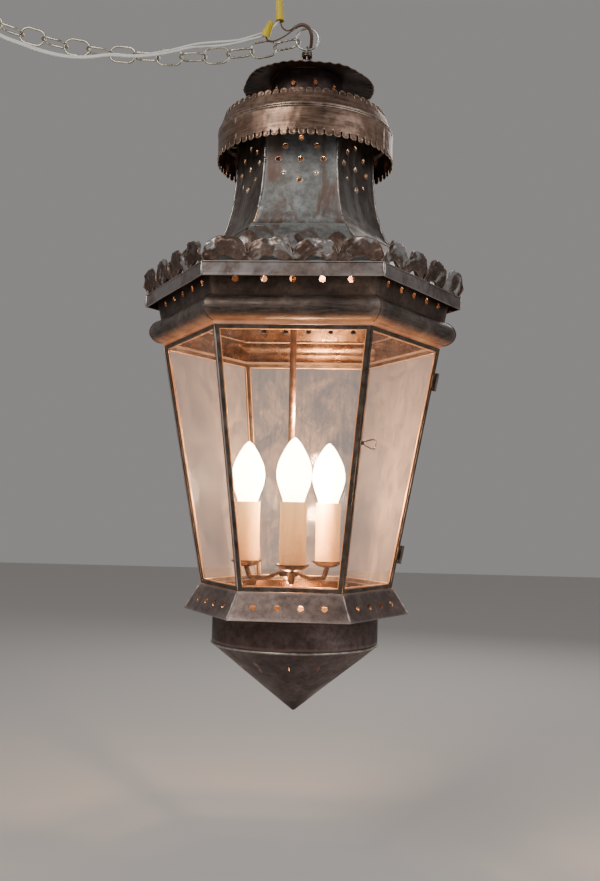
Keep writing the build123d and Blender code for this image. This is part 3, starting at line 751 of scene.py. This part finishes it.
def vent_drum():
    drum = round_sheet(
        "vent_drum_sheet", ladder((50, 308.0), (50, 272), 8), "foot", dents=0.4, replaces="vent_drum"
    )
    places = []
    for k in range(10):
        a = radians(-90 + 36 * (k + 0.5))
        out = Vector((cos(a), sin(a), 0))
        places.append((out * 50 + Vector((0, 0, level(287.5))), out, 3.3, 0))
    punch(drum, places)


TAB_SHARE = 0.78  # of the pitch that a tab fills
TAB_COLUMNS = [-1.0, -0.96, -0.86, -0.7, -0.45, -0.15, 0.15, 0.45, 0.7, 0.86, 0.96, 1.0]


def tabbed_band(name, root, tip, count, depth, replaces, seed):
    """A band, plain at root and cut at tip into round tabs, each embossed inside its edge."""
    up = 1 if tip[1] > root[1] else -1
    shoulder = tip[1] - up * depth
    pitch = 2 * pi / count
    verts, faces = [], []
    spots = random.Random(seed)

    def point(a, z, lift):
        t = (z - root[1]) / (tip[1] - root[1])
        radius = root[0] + (tip[0] - root[0]) * t + lift
        p = Vector((radius * cos(a), radius * sin(a), level(z)))
        radius += dent(p, 0.8, seed) + 0.3 * noise.noise(p * 0.12)
        return radius * cos(a), radius * sin(a), level(z)

    columns = []
    for k in range(count):
        columns += [(k * pitch + s * TAB_SHARE * pitch / 2) for s in TAB_COLUMNS]
    plain = 12
    for i in range(plain + 1):
        z = root[1] + (shoulder - root[1]) * i / plain
        verts += [point(a, z, 0) for a in columns]
    wide, per = len(columns), len(TAB_COLUMNS)
    for i in range(plain):
        for j in range(wide):
            m = (j + 1) % wide
            faces.append((i * wide + j, i * wide + m, (i + 1) * wide + m, (i + 1) * wide + j))
    half = TAB_SHARE * pitch * root[0] / 2
    rows = 9
    for k in range(count):
        bend, base = spots.uniform(-0.5, 0.9), plain * wide + k * per
        before = [base + c for c in range(per)]
        for i in range(1, rows + 1):
            row = []
            for c, share in enumerate(TAB_COLUMNS):
                cap = half * 0.75 * (1 - sqrt(max(0.0, 1 - share * share)))
                edge = tip[1] - up * cap
                z = shoulder + (edge - shoulder) * i / rows
                inside = min(abs(edge - z), (1 - abs(share)) * half)
                rib = 0.75 * exp(-(((inside - 1.15) / 0.5) ** 2)) if i > 2 else 0
                row.append(len(verts))
                turn = k * pitch + share * TAB_SHARE * pitch / 2
                verts.append(point(turn, z, rib + bend * (i / rows) ** 2))
            for c in range(per - 1):
                faces.append((before[c], before[c + 1], row[c + 1], row[c]))
            before = row
    if up < 0:
        faces = [f[::-1] for f in faces]
    return piece(name, verts, faces, "band", replaces=replaces, wall=0.9, inner="brown", crease=60)


def bands():
    tabbed_band("band_lower_sheet", (122.7, 223.2), (122.9, 184.2), 65, 8.6, "band_lower", 1.0)
    tabbed_band("band_upper_sheet", (122.7, 227.4), (113.2, 251.8), 64, 7.8, "band_upper", 2.0)
    torus(
        "band_bead_wires", [(122.4, 0, 0, level(225.3 + s)) for s in (-1.3, 1.3)], 2.5, "band_wire",
        replaces="band_bead",
    )
    a = radians(-27)
    lap = [[(123.6 * cos(a), 123.6 * sin(a), level(z)) for z in range(190, 223, 3)]]
    bead("band_lap_seam", lap, 0.8, "band", lumps=0.3)


CHIMNEY = [(95.5, 250), (95.5, 165), (98.5, 140), (101.5, 120), (108, 97), (113, 85), (117, 77), (125, 69)]
ROOF = [(125, 69), (138, 55), (156, 39), (180, 22), (214, 3)]


def on_corner(k, r, z):
    """The point of corner k at this radius and height."""
    a = radians(60 * k)
    return r * cos(a), r * sin(a), level(z)


def corner_runs(stations, out=0.0, corners=range(6)):
    """Points down these corners, through each (radius, height)."""
    return [[on_corner(k, r + out, z) for r, z in stations] for k in corners]


def seam(radius_at, k, low, high, steps=24, out=0.4):
    """Points down one corner seam."""
    heights = [high + (low - high) * i / steps for i in range(steps + 1)]
    return [on_corner(k, radius_at(z) + out, z) for z in heights]


def radius_from(stations):
    def find(z):
        for (r0, z0), (r1, z1) in zip(stations, stations[1:]):
            if z0 >= z >= z1:
                return r0 + (r1 - r0) * (z0 - z) / (z0 - z1)
        return stations[-1][0]
    return find


def pale_front_shaded_sides(shell):
    """The darker brown sheet on the two sides next to the front one, partly painted shade; the front keeps
    the paler sheet, partly a painted highlight.
    """
    for extra in ("chimney_side", "inner"):
        shell.data.materials.append(MATERIALS[extra])
    for polygon in shell.data.polygons:
        around = (atan2(polygon.center.y, polygon.center.x) + pi / 2) % (2 * pi)
        beside = pi / 6 < around < pi / 2 or 3 * pi / 2 < around < 11 * pi / 6
        polygon.material_index = 2 if beside else 0


OPEN_SEAM = 4  # the corner whose joint has opened near the foot


def chimney():
    shape = [(95.5, 250), *smooth_stations(CHIMNEY[1:], 44)]
    shape = [(95.5, 250 - 8.5 * k) for k in range(10)] + shape[1:]
    shell = hex_sheet(
        "chimney_sheet", shape, "chimney", across=16, dents=1.0, seed=5.0, replaces="chimney"
    )
    pale_front_shaded_sides(shell)
    rounds = side_places([(0, 196), (-21, 185), (21, 185), (-30, 167), (0, 167), (30, 167)], 82.7, 3.4)
    low = side_places([(-1, 137.7)], 85.6, 3.2)
    stars = side_places([(-22, 148.5), (21, 147)], 84.2, 3.6, 5)
    a = radians(60 * OPEN_SEAM)
    gape = [(Vector((112.4 * cos(a), 112.4 * sin(a), level(86))), (cos(a), sin(a), 0.6), 11, 1)]
    punch(shell, rounds + low + stars + gape)
    burrs("chimney_hole_lips", rounds, 3.9, "pale_lip", wire=0.6)
    burrs("chimney_low_lips", low, 4.0, "pale_lip", wire=1.0)
    find = radius_from(shape)
    lows = [96 if k == OPEN_SEAM else 69 for k in range(6)]
    bead("chimney_seams", [seam(find, k, lows[k], 249, 60) for k in range(6)], 1.5, "solder", lumps=0.25)
    ties = corner_runs([(r, 215) for r in (94, 100, 108, 116, 121.5)])
    bead("band_ties", ties, 1.6, "wire", lumps=0.2)


def roof():
    shape = smooth_stations(ROOF, 26) + [(219, -0.3)]
    shape = [(123.6, 72), *shape]
    pale_front_shaded_sides(hex_sheet("roof_sheet", shape, "chimney", across=22, dents=1.2, seed=6.0, replaces="roof"))
    find = radius_from(shape)
    bead("roof_seams", [seam(find, k, 4, 66, 30) for k in range(6)], 1.7, "solder", lumps=0.35)


# --- eave --------------------------------------------------------------------------------------------

LOBES, LOBE = 4, 55.0


def front_lobe(rng):
    """One bulged, hammered lobe, arched at its foot: across x, height z, outward y."""
    rows, wide, tall = [], 28.4, 30.0 + rng.uniform(-2.5, 1.5)
    lean, puff, shift = rng.uniform(6, 9), rng.uniform(4.0, 6.0), rng.uniform(-0.12, 0.12)
    spot = Vector((rng.uniform(0, 50), rng.uniform(0, 50), 0))
    for i in range(15):
        v, row = i / 14, []
        for j in range(25):
            u = j / 12 - 1
            x = u * wide * (1 - 0.10 * v * v)
            foot = 6.5 * max(0.0, 1 - (x / 14.0) ** 2)
            crest = tall * (0.34 + 0.66 * (1 - abs(u - shift * (1 - u * u)) ** 2.8) ** 0.5)
            z = foot + v * (crest - foot)
            round_v = sin(pi * min(1.0, 0.12 + 0.78 * v))
            y = lean * v + puff * (1 - u * u) ** 0.7 * round_v
            p = Vector((x, z, 0)) * 0.085 + spot
            y += 2.4 * noise.noise(p) + 1.7 * noise.noise(p * 2.4) + 0.8 * noise.noise(p * 5.5)
            row.append((x, y, z))
        rows.append(row)
    return rows


def rear_leaf(rng):
    """A thin round-ended leaf with a raised rib, behind the joint of two lobes."""
    rows, wide, tall = [], 17.0 + rng.uniform(-1.5, 1.5), 40 + rng.uniform(-3, 2)
    lean, twist = rng.uniform(-13, -8), rng.uniform(-0.25, 0.25)
    spot = Vector((rng.uniform(0, 50), rng.uniform(0, 50), 3))
    for i in range(15):
        v, row = i / 14, []
        swell = 0.62 + 0.38 * sin(pi * min(1, v * 0.95))
        half = wide * swell * sqrt(max(0.02, 1 - max(0, (v - 0.45) / 0.56) ** 2.4))
        for j in range(13):
            u = j / 6 - 1
            x, z = u * half, v * tall
            y = lean * v + 2.4 * (1 - u * u) * sin(pi * v) + twist * x * v
            y -= 1.4 * exp(-((u / 0.12) ** 2)) * (1 - v)
            p = Vector((x, z, 0)) * 0.09 + spot
            y += 0.9 * noise.noise(p) + 0.4 * noise.noise(p * 3)
            row.append((x, y, z))
        rows.append(row)
    return rows


def cresting(number, angle):
    rng = random.Random(100 + number)
    a = radians(angle)
    out, along = Vector((cos(a), sin(a), 0)), Vector((-sin(a), cos(a), 0))
    verts, faces = [], []

    def add(rows, y0, apothem, height):
        points, quads = open_grid(rows)
        base = len(verts)
        for x, y, z in points:
            verts.append(out * (apothem + y) + along * (y0 + x) + Vector((0, 0, level(height) + z)))
        faces.extend(tuple(base + q for q in f) for f in quads)

    for k in range(LOBES):
        add(front_lobe(rng), (k - (LOBES - 1) / 2) * LOBE, 187.4 + 0.5 * (k % 2), 0.3)
    for k in range(-1, 2):
        add(rear_leaf(rng), k * LOBE + rng.uniform(-3, 3), 184.5, 2.0)
    name, node = f"cresting_leaves_{number}", f"cresting_{number}"
    piece(name, verts, faces, "leaf", replaces=node, wall=1.0, crease=70)


def eave():
    hem = [(219.2, -0.9), (220.3, -0.3), (220.3, 0.6), (219.6, 0.9)]
    body = ladder((220, -1.6), (220, -15.6), 6)
    shape = [*reversed(hem), *body, (220.4, -16.4), (220.0, -17.2), (219.0, -16.8)]
    hex_sheet("fascia_sheet", shape, "fascia", across=26, dents=0.9, seed=7.0, wall=0.9, inner="brown",
              replaces="eave_fascia")
    corner = corner_runs([(220.4, z) for z in (1.6, -1, -4, -8, -12, -15, -17.6)])
    bead("fascia_corner_solder", corner, 1.9, "solder", lumps=0.5, ring=8)
    soffit, face = [(219, -7.4), (210, -7.6), (204.6, -8.2)], ladder((204.4, -9), (198.8, -35.5), 6)
    wall = hex_sheet("frieze_sheet", [*soffit, *face, (198.4, -36.1), (193, -36.2)], "brown", across=22,
                     dents=0.5, seed=8.0, replaces="frieze")
    holes = [(k * 35 + random.uniform(-1, 1), -17.6) for k in range(-2, 3)]
    punch(wall, side_places(holes, 175, 4.0))


ROLL_R, ROLL_APOTHEM, ROLL_LEVEL = 16, 169.5, -52


def roll():
    turns = [radians(94 - 188 * k / 22) for k in range(23)]
    shape = [((ROLL_APOTHEM + ROLL_R * cos(a)) / COS30, ROLL_LEVEL + ROLL_R * sin(a)) for a in turns]
    hex_sheet("roll_sheet", shape, "roll", across=26, dents=0.9, seed=9.0, replaces="roll_moulding")
    bead("roll_mitre_solder", corner_runs(shape, 0.2), 0.7, "came", lumps=0.4)


# --- foot --------------------------------------------------------------------------------------------

SLIT_ANGLES = [-120, -90.5, -64.5, -35, -4, 26, 57, 88, 118, 149, 180, 210]


def foot():
    slope = ladder((131.9, -402.3), (153.2, -435.6), 9)
    shape = [(130.6, -402.0), *slope, (153.4, -436.6), (150, -437.2), (112, -437.3)]
    skirt = hex_sheet(
        "skirt_sheet", shape, "skirt", across=20, dents=1.0, seed=10.0, replaces="bottom_skirt"
    )
    holes = [(y, -421) for y in (-44.5, -14.8, 14.8, 44.5)]
    punch(skirt, side_places(holes, 124, 4.1, rise=0.545))
    corner = corner_runs(ladder((132.6, -403.6), (153.2, -435.8), 14), 0.3)
    bead("skirt_corner_solder", corner, 1.3, "skirt", lumps=0.4)
    drum = ladder((113, -437.4), (113, -476.8), 8)
    round_sheet("drum_sheet", drum, "foot", dents=0.9, seed=11.0, replaces="bottom_drum")
    torus("drum_rim", [(113.0, 0, 0, level(-478))], 2.8, "pale_lip", replaces="drum_bead")
    slope = [(112.6, -479.2), *ladder((111, -480.6), (3.0, -568.4), 22), (0.8, -569.7)]
    cone = round_sheet(
        "cone_sheet", slope, "foot", around=120, dents=1.1, seed=12.0, replaces="bottom_cone"
    )
    places = []
    for angle in SLIT_ANGLES:
        a = radians(angle)
        out = Vector((cos(a), sin(a), -1.1)).normalized()
        places.append((Vector((85.2 * cos(a), 85.2 * sin(a), level(-503.5))), out, 5.5, 1))
    punch(cone, places)
    lap = radians(148)
    run = [(r * cos(lap), r * sin(lap), level(z)) for r, z in slope[1:-1]]
    bead("cone_lap_seam", [run], 0.7, "foot", lumps=0.3)


# --- glazing -----------------------------------------------------------------------------------------

GLASS_TOP_R, GLASS_TOP = 193.1, -71.9
GLASS_LOW_R, GLASS_LOW = 131.1, -402.0
TILT = atan2((GLASS_TOP_R - GLASS_LOW_R) * COS30, GLASS_TOP - GLASS_LOW)
PANE_TALL = (GLASS_TOP - GLASS_LOW) / cos(TILT)
CAME = 5.4
DOOR_PANE = 2


def corner_seams():
    """The soldered joint of the frames at each corner, except the two beside the door."""
    stations = ladder((GLASS_LOW_R, GLASS_LOW + 1), (GLASS_TOP_R, GLASS_TOP - 1), 40)
    bead("corner_seams", corner_runs(stations, 0.3, (1, 2, 3, 4)), 1.15, "skirt", lumps=0.3)


def pane_edge_glow(number, angle):
    """Thin copper strips round the glass, at the inner edge of the pane's frame, glowing with painted
    light where the lamps light that edge.
    """
    a, apothem = radians(angle), GLASS_LOW_R * COS30
    out = Vector((cos(a) * cos(TILT), sin(a) * cos(TILT), -sin(TILT)))
    up = Vector((cos(a) * sin(TILT), sin(a) * sin(TILT), cos(TILT)))
    along = up.cross(out)
    foot = Vector((apothem * cos(a), apothem * sin(a), level(GLASS_LOW)))
    lean = (GLASS_TOP_R - GLASS_LOW_R) / 2 / PANE_TALL
    inset = CAME + 0.5

    def corner(side, y):
        half = GLASS_LOW_R / 2 + lean * y - inset / cos(atan2(lean, 1))
        return foot + along * side * half + up * y - out * 3.1

    top = PANE_TALL - inset
    corners = [corner(-1, inset), corner(1, inset), corner(1, top), corner(-1, top)]
    runs = []
    for k in range(4):
        p, q = corners[k], corners[(k + 1) % 4]
        runs.append([p.lerp(q, t / 20) for t in range(21)])
    body = "door" if number == DOOR_PANE else "lantern"
    bead(f"pane_edge_glow_{number}", runs, 0.85, "came_edge_glow", body, lumps=0.3)


# --- CAD nodes that keep their shape -----------------------------------------------------------------


def bevelled(node, width, segments=2):
    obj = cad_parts[node]
    edge = obj.modifiers.new("edge", "BEVEL")
    edge.width, edge.segments = width * MM, segments
    edge.limit_method, edge.angle_limit = "ANGLE", radians(35)
    edge.harden_normals = False


def dressed(material, *nodes, bevel=0.0):
    for node in nodes:
        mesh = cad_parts[node].data
        mesh.materials.clear()
        mesh.materials.append(MATERIALS[material])
        if bevel:
            bevelled(node, bevel)


def cad_pieces():
    frames = [f"pane_frame_{k}" for k in (1, 3, 4, 5, 6)] + ["door_frame"]
    dressed("came", *frames, bevel=0.5)
    dressed("roll", "glass_rail", bevel=0.3)
    dressed("came", "door_hinge_pins", bevel=0.25)
    dressed("glass", *[f"pane_glass_{k}" for k in (1, 3, 4, 5, 6)], "door_glass")
    dressed("brown", "crown_shoulder")
    dressed("steel", "suspension_ring")
    dressed("chain", "chain_links", "ceiling_hook", "ceiling_plate")
    dressed("wire", "hanger_eye", "hanger_binding", "latch_loop")
    dressed("rubber", "cord_bush", bevel=0.3)
    dressed("yellow", "wire_nut_a", "wire_nut_b", bevel=0.25)
    dressed("rod", "stem_rod", "stem_crossbar", bevel=0.4)
    dressed("lamp_brass", "cluster_hub", "candle_arms", "drip_cups", "candle_sockets", bevel=0.3)
    dressed("card", "candle_sleeves", bevel=0.3)
    dressed("bulb", "bulb_1", "bulb_2", "bulb_3")


camera()
stage()
inner_glow()
cords()
crown_disc()
vent_drum()
bands()
chimney()
roof()
for number, side in enumerate(SIDES, 1):
    cresting(number, side)
    pane_edge_glow(number, side)
eave()
roll()
foot()
corner_seams()
cad_pieces()
